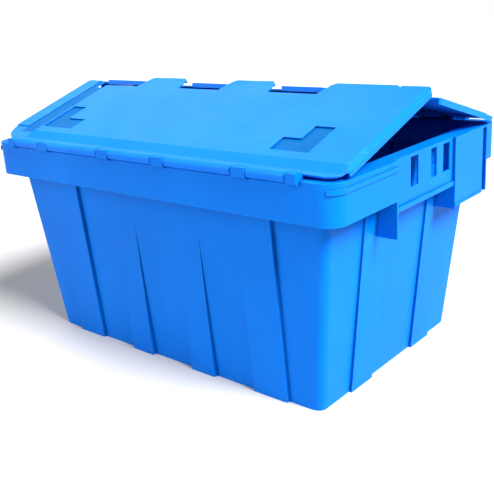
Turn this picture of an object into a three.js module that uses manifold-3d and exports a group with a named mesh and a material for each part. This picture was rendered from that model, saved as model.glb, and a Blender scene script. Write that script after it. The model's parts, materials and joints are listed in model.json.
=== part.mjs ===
// Stacking crate with an attached two-flap lid: one tapered tub, two interleaving flaps, two hinge wires.
// Millimetres, +Z up. The origin is the centre of the footprint on the floor, and +X is the long axis.
// The flaps are drawn lying closed and are then turned up about their wires into a tent.
import * as THREE from 'three';
import { mergeVertices } from 'three/addons/utils/BufferGeometryUtils.js';
import Module from 'manifold-3d';

const wasm = await Module();
wasm.setup();

// ---------------------------------------------------------------- driving dimensions
const RIM_TOP = 289;              // height of the tub, floor to rim
const BAND_DEPTH = 46.5;          // height of the skirt that hangs from the rim
const BAND_HALF_X = 297;
const BAND_HALF_Y = 195;
const BAND_RADIUS = 23;
const WALL = 2.6;                 // moulded wall thickness
const FLOOR = 3;
const WALL_RADIUS = 11;
const BASE_HALF = { long: 156, end: 243.5 };      // distance of each outer wall from the centre at the floor
const TOP_HALF = { long: 174.3, end: 275.6 };     // and at the rim
const TENT_ANGLE = { front: 18, rear: 16.6 };     // each flap's slope in the resting tent, degrees

const HINGE_Y = 193.5;
const HINGE_Z = RIM_TOP + 3;
const BARREL_RADIUS = 6.5;
const LUG_HALF_HEIGHT = 5.5;
const TROUGH_RADIUS = 7.1;        // hollow in the rim that the barrels turn in
const WIRE_RADIUS = 1.5;
const WIRE_BORE = 1.9;
const TUB_LUGS = [50, 176];       // centres of the tub's hinge lugs each side of the middle
const LUG_WIDTH = 20;
const END_LUG = { inner: 240, outer: 254 };
const LUG_GAP = 1.5;              // side clearance between a lug and the flap's barrel

const FLAP_HALF_X = 299.8;
const SKIN = 2.2;
const EDGE_TOP = -0.5;            // top of the flap's thin strips, measured from the hinge axis
const BORDER_TOP = 0.8;           // top of the raised border along one end
const BORDER_WIDTH = 29;
const BORDER_START = 44;          // where that border begins, measured across the flap from the hinge axis
const PLATFORM_TOP = 3.8;         // raised middle's top face
const PLATFORM_FOOT = { right: 299.8, left: 243 };  // foot of its end slopes; a channel is left beside one
const SLOPE_RUN = { right: 4, left: 9 };          // width of those slopes
const PLATFORM_START = 16;        // foot of the slope beside the hinge
const PLATFORM_FULL = 30;         // and where it reaches its full height
const ROOT = 9;                   // flap's edge, measured across the flap from the hinge axis
const NOTCH = 176;
const FINGER_TIP = 207;
const BORDER_TIP = {              // how far each end border reaches, to meet the other flap's
  front: { right: 206, left: 197 },
  rear: { right: 188, left: 179 },
};
const HINGE_CORNER = {            // corner radii beside the hinge
  front: { right: 22, left: 44 },
  rear: { right: 22, left: 18 },
};
const BORDER_SHOULDER = 262;      // inner side of the raised border's tip
const FINGER_EDGES = [-262, -162, -81, 0, 81, 162, 262];
const FINGER_TAPER = 3;
const FINGER_GAP = 1;
const TIP_LIP = { thickness: 2.4, bottom: -2.6 };   // downturned edge at the finger tips
const FLANGE = { thickness: 2, bottom: -7, start: 24 };  // downturned edge outside the rim's end

const HANDLE_HALF_Y = 70;
const HANDLE_INSET = 4;
const HANDLE_LIP_Z = 228;
const WEB_BOTTOM = 198;
const APRON = { groove: 149, web: 160, far: 163, grooveDepth: 4.6, bottom: 201 };

const ROUND_STEPS = 20;

// ---------------------------------------------------------------- solids
function toSolid(geometry) {
  const bare = geometry.clone();
  bare.deleteAttribute('normal');
  bare.deleteAttribute('uv');
  const merged = mergeVertices(bare, 1e-4);
  return new wasm.Manifold(new wasm.Mesh({
    numProp: 3,
    vertProperties: Float32Array.from(merged.attributes.position.array),
    triVerts: Uint32Array.from(merged.index.array),
  }));
}

function toGeometry(solid) {
  const mesh = solid.getMesh();
  const geometry = new THREE.BufferGeometry();
  geometry.setAttribute('position', new THREE.BufferAttribute(mesh.vertProperties, 3));
  geometry.setIndex(new THREE.BufferAttribute(mesh.triVerts, 1));
  return geometry;
}

function box(x0, x1, y0, y1, z0, z1) {
  const geometry = new THREE.BoxGeometry(x1 - x0, y1 - y0, z1 - z0);
  return toSolid(geometry.translate((x0 + x1) / 2, (y0 + y1) / 2, (z0 + z1) / 2));
}

function polygon(points) {
  return new THREE.Shape(points.map(([u, v]) => new THREE.Vector2(u, v)));
}

function roundedRect(halfX, halfY, radius) {
  const shape = new THREE.Shape();
  shape.moveTo(halfX, -halfY + radius);
  shape.absarc(halfX - radius, halfY - radius, radius, 0, Math.PI / 2);
  shape.absarc(-halfX + radius, halfY - radius, radius, Math.PI / 2, Math.PI);
  shape.absarc(-halfX + radius, -halfY + radius, radius, Math.PI, Math.PI * 1.5);
  shape.absarc(halfX - radius, -halfY + radius, radius, Math.PI * 1.5, Math.PI * 2);
  return shape;
}

function extrude(shape, depth, curveSegments = 6) {
  return new THREE.ExtrudeGeometry(shape, { depth, bevelEnabled: false, curveSegments });
}

function extrudeZ(shape, z0, z1, curveSegments) {
  return toSolid(extrude(shape, z1 - z0, curveSegments).translate(0, 0, z0));
}

// A (Y, Z) outline swept along X.
function extrudeX(shape, x0, x1) {
  const turn = new THREE.Matrix4().makeBasis(
    new THREE.Vector3(0, 1, 0), new THREE.Vector3(0, 0, 1), new THREE.Vector3(1, 0, 0));
  return toSolid(extrude(shape, x1 - x0).applyMatrix4(turn).translate(x0, 0, 0));
}

// A round bar along X.
function rod(radius, x0, x1, y, z, steps = ROUND_STEPS) {
  const geometry = new THREE.CylinderGeometry(radius, radius, x1 - x0, steps);
  return toSolid(geometry.rotateZ(Math.PI / 2).translate((x0 + x1) / 2, y, z));
}

function union(solids) {
  return solids.reduce((sum, solid) => sum.add(solid));
}

function cut(solid, cutters) {
  return cutters.reduce((rest, cutter) => rest.subtract(cutter), solid);
}

// The two ends, or the two long sides, are mirror images.
function bothSigns(make) {
  return [-1, 1].map(make);
}

// ---------------------------------------------------------------- tub walls
function wallHalf(side, z) {
  return BASE_HALF[side] + (TOP_HALF[side] - BASE_HALF[side]) * z / RIM_TOP;
}

// A rounded block whose sides lean out with height, as the walls do; inset moves every wall inwards.
function taperedBlock(inset, z0, z1) {
  const halfX = wallHalf('end', z0) - inset;
  const halfY = wallHalf('long', z0) - inset;
  const growX = wallHalf('end', z1) - wallHalf('end', z0);
  const growY = wallHalf('long', z1) - wallHalf('long', z0);
  const radius = WALL_RADIUS - inset * 0.5;
  const geometry = extrude(roundedRect(halfX, halfY, radius), z1 - z0).translate(0, 0, z0);
  const position = geometry.attributes.position;
  for (let i = 0; i < position.count; i += 1) {
    if (position.getZ(i) > (z0 + z1) / 2) {
      position.setX(i, position.getX(i) + Math.sign(position.getX(i)) * growX);
      position.setY(i, position.getY(i) + Math.sign(position.getY(i)) * growY);
    }
  }
  return toSolid(geometry);
}

// Pilasters stand proud of the walls. Outer ones run full height; the inner ones on the long
// sides fade into the leaning wall below the skirt.
const PILASTERS = [
  { side: 'long', from: 145, to: 197, top: 256, topDepth: 4.5, baseDepth: 4.5 },
  { side: 'long', from: 38, to: 78, top: 196, topDepth: 0, baseDepth: 5.5 },
  { side: 'end', from: 50, to: 97, top: 256, topDepth: 2.5, baseDepth: 4 },
];

// One pilaster on the -Y wall, grown or shrunk by inset for its hollow inside face.
function pilasterBlock(pilaster, inset, z0) {
  const { side, from, to, top, topDepth, baseDepth } = pilaster;
  const face = (z) => {
    const depth = topDepth + (baseDepth - topDepth) * (1 - z / top);
    return -(wallHalf(side, z) + depth - inset);
  };
  const back = -(BASE_HALF[side] - WALL_RADIUS);
  const shape = polygon([[face(z0), z0], [back, z0], [back, top - inset], [face(top - inset), top - inset]]);
  return extrudeX(shape, from + inset, to - inset);
}

function turned(solid, degrees) {
  return solid.rotate([0, 0, degrees]);
}

// Copies of one -Y wall block on every place where the crate's symmetry repeats it.
function onWalls(side, block) {
  const start = side === 'long' ? 0 : 90;
  const pair = [block, block.mirror([1, 0, 0])];
  return pair.flatMap((solid) => [turned(solid, start), turned(solid, start + 180)]);
}

function pilasters(inset, z0) {
  return PILASTERS.flatMap((p) => onWalls(p.side, pilasterBlock(p, inset, z0)));
}

// ---------------------------------------------------------------- rim, skirt and handles
function skirt() {
  const bottom = RIM_TOP - BAND_DEPTH;
  const outer = extrudeZ(roundedRect(BAND_HALF_X, BAND_HALF_Y, BAND_RADIUS), bottom, RIM_TOP, 8);
  const hollow = roundedRect(BAND_HALF_X - WALL, BAND_HALF_Y - WALL, BAND_RADIUS - WALL);
  return outer.subtract(extrudeZ(hollow, bottom - 1, RIM_TOP - WALL, 8));
}

// Stiffening webs inside the hollow skirt along the long sides.
function skirtWebs() {
  const webs = [];
  for (let x = -220; x <= 220; x += 55) {
    webs.push(box(x - 1.2, x + 1.2, -BAND_HALF_Y + 1, -TOP_HALF.long + 4, 252, RIM_TOP - 1));
    webs.push(box(x - 1.2, x + 1.2, TOP_HALF.long - 4, BAND_HALF_Y - 1, 252, RIM_TOP - 1));
  }
  return webs;
}

// Hand hold on the +X end: a sunk face with a thick lower lip between two deep side webs.
const HANDLE_FACE = BAND_HALF_X - HANDLE_INSET;
const HANDLE_SLOTS = [[-35, -17], [14, 28], [45, 62]];
const SLOT_BOTTOM = 250;

function handlePieces() {
  const y = HANDLE_HALF_Y;
  const wallX = wallHalf('end', WEB_BOTTOM) - 1;
  const webs = bothSigns((s) => box(wallX, BAND_HALF_X, Math.min(s * y, s * (y + WALL)),
    Math.max(s * y, s * (y + WALL)), WEB_BOTTOM, RIM_TOP - 1));
  const face = box(HANDLE_FACE - WALL, HANDLE_FACE, -y - 1, y + 1, HANDLE_LIP_Z, RIM_TOP);
  const lip = box(HANDLE_FACE - 4.5, HANDLE_FACE + 2.5, -y - 1, y + 1, HANDLE_LIP_Z, HANDLE_LIP_Z + 6);
  return [...webs, face, lip];
}

function handleRecess() {
  const y = HANDLE_HALF_Y;
  return box(HANDLE_FACE, BAND_HALF_X + 2, -y, y, RIM_TOP - BAND_DEPTH - 1, RIM_TOP + 1);
}

function handleSlots() {
  const back = HANDLE_FACE - WALL - 1;
  return HANDLE_SLOTS.map(([y0, y1]) => box(back, HANDLE_FACE + 1, y0, y1, SLOT_BOTTOM, RIM_TOP - 4));
}

// Deep apron beside the hand hold, with a beaded lower edge. Its far side is an upright channel
// closed by an end web.
function apronPieces() {
  const near = HANDLE_HALF_Y;
  const { groove, web, far, grooveDepth, bottom } = APRON;
  const joinZ = RIM_TOP - BAND_DEPTH + 4;
  const wallX = wallHalf('end', bottom) - 1;
  const channelX = BAND_HALF_X - grooveDepth - WALL;
  return [
    box(BAND_HALF_X - WALL, BAND_HALF_X, near, groove, bottom, joinZ),
    box(BAND_HALF_X - 9, BAND_HALF_X + 0.8, near, groove, bottom, bottom + 3.5),
    box(channelX, BAND_HALF_X, groove - WALL, far, bottom, RIM_TOP - 1),
    box(wallX, BAND_HALF_X, web, far, bottom, joinZ),
  ];
}

function apronGroove() {
  const { groove, web, grooveDepth, bottom } = APRON;
  return box(BAND_HALF_X - grooveDepth, BAND_HALF_X + 2, groove, web, bottom - 1, RIM_TOP - WALL);
}

// Bead below the rim on the other side of the hand hold, running into the rounded corner.
function endBead() {
  const proud = 1.6;
  const outline = roundedRect(BAND_HALF_X + proud, BAND_HALF_Y + proud, BAND_RADIUS + proud);
  const ring = extrudeZ(outline, RIM_TOP - 12, RIM_TOP - 6.5, 8);
  return ring.intersect(box(BAND_HALF_X - 11, BAND_HALF_X + 3, -BAND_HALF_Y, -HANDLE_HALF_Y, 0, RIM_TOP));
}

function onBothEnds(solids) {
  return solids.flatMap((solid) => [solid, solid.mirror([1, 0, 0])]);
}

// ---------------------------------------------------------------- tub hinge lugs, on the -Y side
// A block round the wire, on a stem that runs back into the rim.
function lug(x0, x1) {
  const front = -HINGE_Y - BARREL_RADIUS;
  const [low, high] = [HINGE_Z - LUG_HALF_HEIGHT, HINGE_Z + LUG_HALF_HEIGHT];
  return extrudeX(polygon([
    [front, low], [-BAND_HALF_Y, low - 3], [-BAND_HALF_Y + 5, low - 3],
    [-HINGE_Y + LUG_HALF_HEIGHT, low], [-HINGE_Y + LUG_HALF_HEIGHT, high], [front, high],
  ]), x0, x1);
}

function lugSpans() {
  const half = LUG_WIDTH / 2;
  const inner = TUB_LUGS.flatMap((x) => [[x - half, x + half], [-x - half, -x + half]]);
  const { inner: a, outer: b } = END_LUG;
  return [...inner, [a, b], [-b, -a]];
}

function hingeLugs() {
  const row = lugSpans().map(([x0, x1]) => lug(x0, x1));
  return row.flatMap((solid) => [solid, turned(solid, 180)]);
}

// Thickened bar along each long side of the rim, and the trough in it that the barrels turn in.
function hingeBars() {
  const reach = END_LUG.outer + WALL;
  const bar = box(-reach, reach, -BAND_HALF_Y, -BAND_HALF_Y + 12, RIM_TOP - 11, RIM_TOP);
  return [bar, turned(bar, 180)];
}

function hingeTroughs() {
  const trough = rod(TROUGH_RADIUS, -END_LUG.outer, END_LUG.outer, -HINGE_Y, HINGE_Z);
  return [trough, turned(trough, 180)];
}

// The bore is open at the -X end, where the wire is pushed in, and blind at the other.
function lugBores() {
  const bore = rod(WIRE_BORE, -END_LUG.outer - 1, END_LUG.outer - WALL, -HINGE_Y, HINGE_Z, 12);
  return [bore, turned(bore, 180)];
}

function tub() {
  const shell = union([
    taperedBlock(0, 0, RIM_TOP),
    ...pilasters(0, 0),
    skirt(),
    ...skirtWebs(),
    ...hingeBars(),
  ]);
  const withEnds = union([cut(shell, [...onBothEnds([handleRecess()]), ...hingeTroughs()]),
    ...onBothEnds([...handlePieces(), ...apronPieces(), endBead()]),
    ...hingeLugs()]);
  const cavity = union([taperedBlock(WALL, FLOOR, RIM_TOP + 5), ...pilasters(WALL, FLOOR)]);
  return cut(withEnds, [cavity, ...onBothEnds([...handleSlots(), apronGroove()]), ...lugBores()]);
}

// ---------------------------------------------------------------- flap
// Drawn closed, hinge axis on X through the origin. Y runs across the flap, Z is height above the axis.
// An (X, Z) outline swept across the flap.
function extrudeAcross(shape, y0, y1) {
  const turn = new THREE.Matrix4().makeBasis(
    new THREE.Vector3(1, 0, 0), new THREE.Vector3(0, 0, 1), new THREE.Vector3(0, -1, 0));
  return toSolid(extrude(shape, y1 - y0).applyMatrix4(turn).translate(0, y1, 0));
}

// The raised middle, or its hollow underside when inset is the skin's thickness.
function platform(inset) {
  const right = PLATFORM_FOOT.right - inset * 0.6;
  const left = -PLATFORM_FOOT.left + inset * 0.6;
  const edge = EDGE_TOP - inset;
  const top = PLATFORM_TOP - inset;
  const low = edge - 2;
  const across = polygon([
    [left, low], [right, low], [right, edge],
    [right - SLOPE_RUN.right, top], [left + SLOPE_RUN.left, top], [left, edge],
  ]);
  const start = PLATFORM_START + inset * 0.4;
  const full = PLATFORM_FULL + inset * 0.4;
  const end = FINGER_TIP + 1;
  const along = polygon([[start, low], [end, low], [end, top], [full, top], [start, edge]]);
  return extrudeAcross(across, ROOT, end).intersect(extrudeX(along, -FLAP_HALF_X, FLAP_HALF_X));
}

// The raised border along the other end, or its hollow underside.
function border(inset) {
  const [inner, outer] = [FLAP_HALF_X - BORDER_WIDTH + inset, FLAP_HALF_X - inset];
  return box(-outer, -inner, BORDER_START + inset, FINGER_TIP, EDGE_TOP - SKIN - inset, BORDER_TOP - inset);
}

// One skin of even thickness: flat strips, the raised middle and the raised border.
function skin() {
  const strips = box(-FLAP_HALF_X, FLAP_HALF_X, ROOT, FINGER_TIP, EDGE_TOP - SKIN, EDGE_TOP);
  return cut(union([strips, platform(0), border(0)]), [platform(SKIN), border(SKIN)]);
}

// Downturned edges: one along each end, outside the rim, and one behind every finger tip.
function downturns() {
  const { thickness, bottom, start } = FLANGE;
  const flange = box(FLAP_HALF_X - thickness, FLAP_HALF_X, start, FINGER_TIP, bottom, EDGE_TOP - 1);
  const lip = box(-PLATFORM_FOOT.left, PLATFORM_FOOT.right, FINGER_TIP - TIP_LIP.thickness, FINGER_TIP,
    TIP_LIP.bottom, PLATFORM_TOP - 1);
  return [...onBothEnds([flange]), lip];
}

// Plan of the whole flap. Fingers narrow towards their tips so that closed flaps mesh; the two
// ends reach the centre line only, where the borders of the flaps meet.
function flapPlan(tips, corners) {
  const { right: near, left: far } = corners;
  const tipRadius = 4;
  const chamfer = 5;
  const quarter = Math.PI / 2;
  const half = FLAP_HALF_X;
  const shape = new THREE.Shape();
  shape.moveTo(0, ROOT);
  shape.absarc(half - near, ROOT + near, near, -quarter, 0);
  shape.absarc(half - tipRadius, tips.right - tipRadius, tipRadius, 0, quarter);
  for (let i = FINGER_EDGES.length - 1; i > 1; i -= 2) {
    const right = FINGER_EDGES[i] - FINGER_GAP;
    const left = FINGER_EDGES[i - 1] + FINGER_GAP;
    const outermost = i === FINGER_EDGES.length - 1;
    const lean = outermost ? 0 : FINGER_TAPER;
    shape.lineTo(right + lean, outermost ? tips.right : NOTCH);
    shape.lineTo(right - lean, FINGER_TIP - chamfer);
    shape.lineTo(right - lean - chamfer, FINGER_TIP);
    shape.lineTo(left + FINGER_TAPER + chamfer, FINGER_TIP);
    shape.lineTo(left + FINGER_TAPER, FINGER_TIP - chamfer);
    shape.lineTo(left - FINGER_TAPER, NOTCH);
  }
  shape.lineTo(-BORDER_SHOULDER - FINGER_GAP, NOTCH);
  shape.lineTo(-BORDER_SHOULDER - FINGER_GAP, tips.left);
  shape.absarc(-half + tipRadius, tips.left - tipRadius, tipRadius, quarter, Math.PI);
  shape.absarc(-half + far, ROOT + far, far, Math.PI, Math.PI + quarter);
  return extrudeZ(shape, FLANGE.bottom - 2, PLATFORM_TOP + 2);
}

// The L-shaped pockets near the two outer corners; arms run along and across the flap.
const POCKET = { start: 43, width: 28, depth: 2 };
const POCKET_ARMS = [
  { side: 1, corner: 237, along: 53, across: 57 },
  { side: -1, corner: 231, along: 64, across: 62 },
];

// The pockets' outlines between two heights, grown outwards on every side.
function pockets(grow, low, high) {
  const { start, width } = POCKET;
  const near = start - grow;
  const middle = start + width + grow;
  return POCKET_ARMS.map(({ side, corner, along, across }) => {
    const outer = corner + grow;
    const inner = corner - width - grow;
    const far = start + across + grow;
    const tip = corner - along - grow;
    const shape = polygon([
      [tip, near], [outer, near], [outer, far], [inner, far], [inner, middle], [tip, middle],
    ]);
    const solid = extrudeZ(shape, low, high);
    return side > 0 ? solid : solid.mirror([1, 0, 0]);
  });
}

function pocketHollows() {
  return pockets(0, PLATFORM_TOP - POCKET.depth, PLATFORM_TOP + 1);
}

function pocketFloors() {
  return pockets(SKIN, PLATFORM_TOP - POCKET.depth - SKIN, PLATFORM_TOP - 1);
}

// Ribs inside the raised middle.
function underRibs() {
  const deep = -8;
  const top = PLATFORM_TOP - 1;
  const [first, last] = [46, 172];
  const across = [-180, -108, -36, 36, 108, 180].map((x) => box(x - 1.2, x + 1.2, first, last, deep, top));
  const along = [first, (first + last) / 2, last].map((y) => box(-236, 236, y - 1.2, y + 1.2, deep, top));
  return [...across, ...along];
}

// Flap barrels fill the spaces between the tub's lugs and are joined to the hinge strip.
function flapBarrels() {
  const half = LUG_WIDTH / 2 + LUG_GAP;
  const [near, far] = TUB_LUGS;
  const spans = [
    [-near + half, near - half],
    [near + half, far - half], [-far + half, -near - half],
    [far + half, END_LUG.inner - LUG_GAP], [-END_LUG.inner + LUG_GAP, -far - half],
  ];
  return spans.flatMap(([x0, x1]) => [
    rod(BARREL_RADIUS, x0, x1, 0, 0),
    box(x0, x1, 0, ROOT + 1, EDGE_TOP - SKIN, EDGE_TOP),
  ]);
}

function flap(tips, corners) {
  const trimmed = union([skin(), ...downturns()]).intersect(flapPlan(tips, corners));
  const whole = union([trimmed, ...underRibs(), ...pocketFloors(), ...flapBarrels()]);
  const bore = rod(WIRE_BORE, -END_LUG.inner, END_LUG.inner, 0, 0, 12);
  return cut(whole, [bore, ...pocketHollows()]);
}

function hingeWire() {
  return rod(WIRE_RADIUS, -END_LUG.outer - 2, END_LUG.outer - WALL - 1, 0, 0, 12);
}

// ---------------------------------------------------------------- materials and assembly
const bluePlastic = new THREE.MeshStandardMaterial({ color: 0x0a6fd8, roughness: 0.5, metalness: 0 });
const lidPlastic = new THREE.MeshStandardMaterial({ color: 0x1b7ee0, roughness: 0.5, metalness: 0 });
const steel = new THREE.MeshStandardMaterial({ color: 0x9a9da0, roughness: 0.35, metalness: 1 });

function named(name, solid, material) {
  const mesh = new THREE.Mesh(toGeometry(solid), material);
  mesh.name = name;
  return mesh;
}

// One flap with its wire, hinged on the -Y side.
function lidSide(prefix) {
  const side = new THREE.Group();
  side.position.set(0, -HINGE_Y, HINGE_Z);
  const swing = new THREE.Group();
  swing.rotation.x = THREE.MathUtils.degToRad(TENT_ANGLE[prefix]);
  const solid = flap(BORDER_TIP[prefix], HINGE_CORNER[prefix]);
  swing.add(named(`${prefix}_flap`, solid, lidPlastic));
  side.add(swing, named(`${prefix}_hinge_wire`, hingeWire(), steel));
  return side;
}

const crate = new THREE.Group();
crate.add(named('tub', tub(), bluePlastic));
crate.add(lidSide('front'));

const rear = new THREE.Group();
rear.rotation.z = Math.PI;
rear.add(lidSide('rear'));
crate.add(rear);

export default crate;
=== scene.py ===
"""Attached-lid stacking crate: tapered tub, two interleaving lid flaps, two steel hinge wires.

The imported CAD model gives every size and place. Each moulding here is a finer piece made from its
CAD solid, with rounded edges, and takes a moulded polypropylene finish.
"""
import json
import math

import bmesh
import bpy
from mathutils import Matrix, Vector


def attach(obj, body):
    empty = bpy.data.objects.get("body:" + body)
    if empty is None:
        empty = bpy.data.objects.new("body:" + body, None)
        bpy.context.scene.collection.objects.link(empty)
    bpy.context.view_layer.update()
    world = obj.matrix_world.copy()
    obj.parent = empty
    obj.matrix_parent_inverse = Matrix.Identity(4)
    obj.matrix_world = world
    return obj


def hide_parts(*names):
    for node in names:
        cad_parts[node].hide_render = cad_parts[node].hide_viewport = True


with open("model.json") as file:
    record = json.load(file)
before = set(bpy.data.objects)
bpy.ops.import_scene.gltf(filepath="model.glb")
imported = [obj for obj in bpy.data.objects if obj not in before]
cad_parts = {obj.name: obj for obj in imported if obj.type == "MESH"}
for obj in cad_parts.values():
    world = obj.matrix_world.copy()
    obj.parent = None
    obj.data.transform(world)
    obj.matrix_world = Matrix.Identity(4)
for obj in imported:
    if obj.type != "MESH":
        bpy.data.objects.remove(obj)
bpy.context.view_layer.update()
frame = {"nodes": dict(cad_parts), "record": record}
scene = bpy.context.scene
scene.view_settings.view_transform = "Standard"


# ---------------------------------------------------------------- camera
CAMERA_TARGET = Vector((0.0079, -0.0002, 0.1239))
CAMERA_DISTANCE = 1.1173
CAMERA_AZIMUTH = math.radians(41.36)
CAMERA_ELEVATION = math.radians(18.38)
CAMERA_ROLL = math.radians(-3.83)
CAMERA_LENS = 55.77


def add_camera():
    """A camera on a sphere round the crate, rolled a little about its own line of sight."""
    away = Vector((
        math.sin(CAMERA_AZIMUTH) * math.cos(CAMERA_ELEVATION),
        -math.cos(CAMERA_AZIMUTH) * math.cos(CAMERA_ELEVATION),
        math.sin(CAMERA_ELEVATION),
    ))
    data = bpy.data.cameras.new("camera")
    data.lens = CAMERA_LENS
    data.sensor_width = 36
    camera = bpy.data.objects.new("camera", data)
    turn = away.to_track_quat("Z", "Y").to_matrix().to_4x4()
    roll = Matrix.Rotation(CAMERA_ROLL, 4, "Z")
    camera.matrix_world = Matrix.Translation(CAMERA_TARGET + away * CAMERA_DISTANCE) @ turn @ roll
    scene.collection.objects.link(camera)
    scene.camera = camera


# ---------------------------------------------------------------- finer pieces from the CAD solids
TOUCHING = 1e-6                   # vertices this close together are one vertex
SMALLEST_EDGE = 0.00005           # anything shorter is a sliver left by the cuts, and is closed up
COPLANAR = math.radians(0.4)      # triangles that turn less than this are one flat face
SMOOTH_BELOW = math.radians(16)   # faces that turn less than this are one curved surface
ROUNDING_SHARE = 0.4              # the most of the room beside an edge that its rounding may take
WIDE_CORNER = 1.5                 # radians; half a corner wider than this leaves room enough
TUB_EDGE = 0.0008
FLAP_EDGE = 0.0007

# Where a flap is painted a darker blue for the shade in its pockets and in the channel beside one
# border.
# Depths are below the flap's panel, and sides are distances from the middle of the crate towards the
# end that has the channel.
CHANNEL_START = 0.030             # measured across the flap from its hinge
CHANNEL_DEPTHS = (0.001, 0.006)
CHANNEL_SIDES = (0.232, 0.2712)
CHANNEL_FACING = 0.85             # takes in its floor and its gently sloping side
POCKET_DEPTHS = (0.0015, 0.0025)
POCKET_REACH = 0.24
POCKET_FACING = 0.999


def within(value, limits):
    low, high = limits
    return low < value < high


def mark_painted_shade_areas(work, node):
    """Give a flap's L-shaped pockets, and the channel beside one border, the second material: a darker
    blue painted for the shade in them.
    """
    hinge = next(j for j in frame["record"]["behaviour"]["joints"] if j["child"] == node)
    panel = max(work.faces, key=lambda face: face.calc_area() if face.normal.z > 0.5 else 0)
    normal = panel.normal.copy()
    centre = panel.calc_center_median()
    outward = math.copysign(1, normal.y)
    uphill = normal.cross(Vector((-outward, 0, 0)))
    bmesh.ops.bisect_plane(
        work, geom=work.verts[:] + work.edges[:] + work.faces[:], dist=TOUCHING / 10,
        plane_co=Vector(hinge["pos_m"]) + uphill * CHANNEL_START, plane_no=uphill)
    for face in work.faces:
        middle = face.calc_center_median()
        facing = face.normal.dot(normal)
        sunk = normal.dot(centre - middle)
        side = middle.x * outward
        past_start = uphill.dot(middle - Vector(hinge["pos_m"])) > CHANNEL_START
        pocket = facing > POCKET_FACING and within(sunk, POCKET_DEPTHS) and abs(side) < POCKET_REACH
        sloping = facing > CHANNEL_FACING and within(sunk, CHANNEL_DEPTHS)
        channel = past_start and sloping and within(side, CHANNEL_SIDES)
        # Pockets and the one-ended channel take the second material, a darker blue painted for their
        # shade.
        face.material_index = int(pocket or channel)


def room_beside(line):
    """How wide a rounding the two faces beside an edge leave room for at its ends."""
    room = math.inf
    for loop in line.link_loops:
        before, after = loop.link_loop_prev, loop.link_loop_next
        for near, corner in ((before.edge, loop.vert), (after.edge, after.vert)):
            along = line.other_vert(corner).co - corner.co
            beside = near.other_vert(corner).co - corner.co
            angle = along.angle(beside)
            rounded = near.calc_face_angle(0) > SMOOTH_BELOW
            reach = math.tan(min(angle / 2, WIDE_CORNER)) if rounded else math.sin(angle)
            room = min(room, beside.length * reach)
    return room


def weigh_edges(work, edge):
    """Mark the real edges for rounding, and round less where their neighbours leave little room."""
    weight = work.edges.layers.float.new("bevel_weight_edge")
    for line in work.edges:
        if line.calc_face_angle(0) > SMOOTH_BELOW:
            line[weight] = min(1, ROUNDING_SHARE * room_beside(line) / edge)


def softened(node, body, edge, mark=None):
    """A piece made from a CAD node: coplanar triangles merged, then every real edge rounded.

    The weighted normals keep the large faces flat to look at, right up to the rounding.
    """
    mesh = frame["nodes"][node].data.copy()
    mesh.materials.clear()
    for faceting in ("custom_normal", "sharp_edge"):
        if faceting in mesh.attributes:
            mesh.attributes.remove(mesh.attributes[faceting])
    work = bmesh.new()
    work.from_mesh(mesh)
    bmesh.ops.remove_doubles(work, verts=work.verts, dist=TOUCHING)
    if mark:
        mark(work, node)
        bmesh.ops.remove_doubles(work, verts=work.verts, dist=SMALLEST_EDGE)
    bmesh.ops.dissolve_limit(
        work, angle_limit=COPLANAR, verts=work.verts, edges=work.edges, delimit={"MATERIAL"})
    bmesh.ops.connect_verts_concave(work, faces=work.faces)
    weigh_edges(work, edge)
    work.to_mesh(mesh)
    work.free()
    mesh.polygons.foreach_set("use_smooth", [True] * len(mesh.polygons))
    piece = bpy.data.objects.new(f"{node}_moulding", mesh)
    scene.collection.objects.link(piece)
    bevel = piece.modifiers.new("rounded_edges", "BEVEL")
    bevel.width = edge
    bevel.segments = 2
    bevel.limit_method = "WEIGHT"
    bevel.use_clamp_overlap = True
    flat = piece.modifiers.new("flat_faces", "WEIGHTED_NORMAL")
    flat.mode = "FACE_AREA"
    flat.weight = 100
    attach(piece, body)
    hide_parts(node)
    return piece


# ---------------------------------------------------------------- materials
def node_tree(name):
    material = bpy.data.materials.new(name)
    material.use_nodes = True
    tree = material.node_tree
    return material, tree, tree.nodes["Principled BSDF"]


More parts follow.
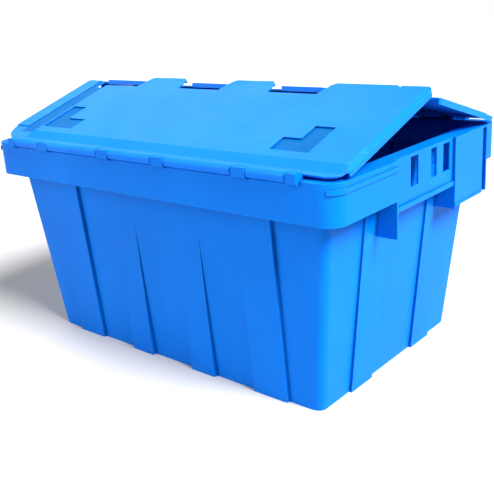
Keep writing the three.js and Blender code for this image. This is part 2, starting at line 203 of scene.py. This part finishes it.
class Graph:
    """Short calls for adding and joining shader nodes."""

    def __init__(self, tree):
        self.tree = tree
        self.place = self.add("ShaderNodeTexCoord").outputs["Object"]

    def add(self, kind, **values):
        node = self.tree.nodes.new(kind)
        for key, value in values.items():
            setattr(node, key, value)
        return node

    def put(self, socket, value):
        if isinstance(value, bpy.types.NodeSocket):
            self.tree.links.new(value, socket)
        else:
            socket.default_value = value

    def noise(self, scale, detail=2, roughness=0.5, stretch=None):
        node = self.add("ShaderNodeTexNoise")
        self.put(node.inputs["Vector"], self.stretched(stretch) if stretch else self.place)
        self.put(node.inputs["Scale"], scale)
        self.put(node.inputs["Detail"], detail)
        self.put(node.inputs["Roughness"], roughness)
        return node.outputs["Fac"]

    def stretched(self, factors):
        node = self.add("ShaderNodeMapping")
        self.put(node.inputs["Vector"], self.place)
        self.put(node.inputs["Scale"], factors)
        return node.outputs["Vector"]

    def band(self, value, low, high, out_low=0.0, out_high=1.0):
        """value, moved from low..high to out_low..out_high and held there at the ends."""
        node = self.add("ShaderNodeMapRange", clamp=True)
        self.put(node.inputs["Value"], value)
        self.put(node.inputs["From Min"], low)
        self.put(node.inputs["From Max"], high)
        self.put(node.inputs["To Min"], out_low)
        self.put(node.inputs["To Max"], out_high)
        return node.outputs["Result"]

    def maths(self, operation, a, b=0.0):
        node = self.add("ShaderNodeMath", operation=operation)
        self.put(node.inputs[0], a)
        self.put(node.inputs[1], b)
        return node.outputs["Value"]

    def mix(self, factor, a, b):
        node = self.add("ShaderNodeMix", data_type="RGBA")
        self.put(node.inputs["Factor"], factor)
        self.put(node.inputs["A"], a)
        self.put(node.inputs["B"], b)
        return node.outputs["Result"]

    def bump(self, height, strength, distance, normal=None):
        node = self.add("ShaderNodeBump")
        self.put(node.inputs["Height"], height)
        self.put(node.inputs["Strength"], strength)
        self.put(node.inputs["Distance"], distance)
        if normal is not None:
            self.put(node.inputs["Normal"], normal)
        return node.outputs["Normal"]

    def edges(self, radius):
        """0 on flat faces, rising to 1 along rounded edges and in corners."""
        rounded = self.add("ShaderNodeBevel", samples=4)
        self.put(rounded.inputs["Radius"], radius)
        plain = self.add("ShaderNodeNewGeometry")
        dot = self.add("ShaderNodeVectorMath", operation="DOT_PRODUCT")
        self.put(dot.inputs[0], rounded.outputs["Normal"])
        self.put(dot.inputs[1], plain.outputs["Normal"])
        return self.band(dot.outputs["Value"], 0.995, 0.85)

    def corners(self, reach):
        """0 on open faces, rising to 1 deep in an inside corner, where shade falls; the mask for
        painted shade.
        """
        shelter = self.add("ShaderNodeAmbientOcclusion", samples=8, only_local=True)
        self.put(shelter.inputs["Distance"], reach)
        return self.band(shelter.outputs["AO"], 0.9, 0.45)


# Painted shade: the dark blue mixed into inside corners, where shade falls.
PAINTED_SHADE_BLUE = (0.001, 0.02, 0.13, 1)
SCUFF_AND_HIGHLIGHT_WIDTH = 0.0016
PAINTED_SHADE_REACH = 0.006

# Each plastic has its colour, the deeper tone of its flow marks, and the paler tone of its scuffs and
# painted edge highlights.
TUB_BLUES = ((0.0, 0.16, 0.68, 1), (0.0, 0.138, 0.62, 1), (0.04, 0.33, 0.8, 1))
LID_BLUES = ((0.003, 0.172, 0.76, 1), (0.001, 0.15, 0.7, 1), (0.1, 0.42, 0.9, 1))
# A darker blue painted for the shade in the lid's pockets and channel.
RECESS_SHADE_BLUES = ((0.0, 0.105, 0.33, 1), (0.0, 0.09, 0.29, 1), (0.03, 0.25, 0.6, 1))
ZINC = (0.62, 0.63, 0.65, 1)
DULL_ZINC = (0.42, 0.43, 0.45, 1)


def plastic(name, blues, specular=0.06):
    """Moulded polypropylene: faint flow marks, spark-eroded grain, scuffs with a painted highlight
    along edges, painted shade in inside corners.
    """
    colour, deep, scuff_and_highlight_tone = blues
    material, tree, shader = node_tree(name)
    graph = Graph(tree)
    flow = graph.noise(9, 4, 0.6, stretch=(1, 1, 0.35))
    tone = graph.mix(graph.band(flow, 0.35, 0.7), deep, colour)
    patchy = graph.noise(60, 6, 0.7)
    # Paler along rounded edges, in patches: scuffs and a painted edge highlight.
    scuffs_and_highlight = graph.maths(
        "MULTIPLY", graph.edges(SCUFF_AND_HIGHLIGHT_WIDTH), graph.band(patchy, 0.47, 0.66, 0.0, 0.75))
    scratches = graph.band(graph.noise(34, 3, 0.5, stretch=(0.35, 1.2, 16)), 0.7, 0.76, 0.0, 0.22)
    marks_and_highlight = graph.maths("MAXIMUM", scuffs_and_highlight, scratches)
    # Painted shade: darker blue deep in inside corners, in patches.
    painted_shade = graph.maths("MULTIPLY", graph.corners(PAINTED_SHADE_REACH), graph.band(patchy, 0.3, 0.6, 0.55, 0.9))
    graph.put(shader.inputs["Base Color"], graph.mix(painted_shade, graph.mix(marks_and_highlight, tone, scuff_and_highlight_tone), PAINTED_SHADE_BLUE))
    gloss = graph.band(graph.noise(24, 5, 0.65), 0.3, 0.7, 0.36, 0.48)
    scuffing = graph.maths("MULTIPLY", marks_and_highlight, 0.22)
    graph.put(shader.inputs["Roughness"], graph.maths("ADD", gloss, scuffing))
    shader.inputs["Specular IOR Level"].default_value = specular
    sink = graph.bump(graph.noise(7, 2), 0.35, 0.0012)
    grain = graph.bump(graph.noise(1500, 2), 0.28, 0.00012, sink)
    graph.put(shader.inputs["Normal"], grain)
    return material


def steel():
    """Drawn zinc-coated wire: fine lines along its length and dull patches."""
    material, tree, shader = node_tree("wire_steel")
    graph = Graph(tree)
    drawn = graph.noise(60, 3, 0.5, stretch=(0.4, 30, 30))
    dull = graph.noise(45, 4)
    graph.put(shader.inputs["Base Color"],
              graph.mix(graph.band(dull, 0.4, 0.65), ZINC, DULL_ZINC))
    shader.inputs["Metallic"].default_value = 1
    graph.put(shader.inputs["Roughness"], graph.band(dull, 0.35, 0.7, 0.24, 0.46))
    graph.put(shader.inputs["Normal"], graph.bump(drawn, 0.3, 0.0001))
    return material


# ---------------------------------------------------------------- floor and light
FLOOR_SIZE = 16
FLOOR_GREY = (0.53, 0.53, 0.53, 1)
ROOM_LIGHT = 0.10         # how strongly the white walls light the crate
ROOM_BRIGHTNESS = 1.0     # how bright they look


def add_floor():
    bpy.ops.mesh.primitive_plane_add(size=FLOOR_SIZE, location=(0, 0, 0))
    floor = bpy.context.object
    floor.name = "floor"
    material, _, shader = node_tree("pale_floor")
    shader.inputs["Base Color"].default_value = FLOOR_GREY
    shader.inputs["Roughness"].default_value = 0.9
    floor.data.materials.append(material)


def add_sun(name, direction, strength, spread):
    """A distant soft light that shines from a direction; spread is its width in degrees."""
    data = bpy.data.lights.new(name, "SUN")
    data.energy = strength
    data.angle = math.radians(spread)
    light = bpy.data.objects.new(name, data)
    light.rotation_euler = Vector(direction).to_track_quat("Z", "Y").to_euler()
    scene.collection.objects.link(light)


def add_world():
    """White studio walls: dim as a light, white to look at."""
    world = bpy.data.worlds.new("studio")
    world.use_nodes = True
    tree = world.node_tree
    shader = tree.nodes["Background"]
    shader.inputs["Color"].default_value = (1, 1, 1, 1)
    seen = tree.nodes.new("ShaderNodeLightPath")
    strength = tree.nodes.new("ShaderNodeMapRange")
    tree.links.new(seen.outputs["Is Camera Ray"], strength.inputs["Value"])
    strength.inputs["To Min"].default_value = ROOM_LIGHT
    strength.inputs["To Max"].default_value = ROOM_BRIGHTNESS
    tree.links.new(strength.outputs["Result"], shader.inputs["Strength"])
    scene.world = world


def add_lights():
    add_world()
    add_sun("key", (0.70, 0.0, 0.71), 9.1, 28)
    add_sun("fill", (-0.60, -0.68, 0.42), 2.2, 40)
    add_sun("back", (-0.63, 0.39, 0.67), 0.8, 40)


add_camera()
add_floor()
add_lights()

tub = softened("tub", "tub", TUB_EDGE)
flaps = [
    softened(name, name, FLAP_EDGE, mark=mark_painted_shade_areas)
    for name in ("front_flap", "rear_flap")
]

tub.data.materials.append(plastic("tub_plastic", TUB_BLUES))
lid = plastic("lid_plastic", LID_BLUES)
# Darker blue painted for the shade in the pockets and the channel.
shade_painted_lid = plastic("lid_plastic_shade_painted", RECESS_SHADE_BLUES, specular=0.02)
for flap in flaps:
    flap.data.materials.append(lid)
    flap.data.materials.append(shade_painted_lid)
wire = steel()
for name in ("front_hinge_wire", "rear_hinge_wire"):
    frame["nodes"][name].data.materials.clear()
    frame["nodes"][name].data.materials.append(wire)
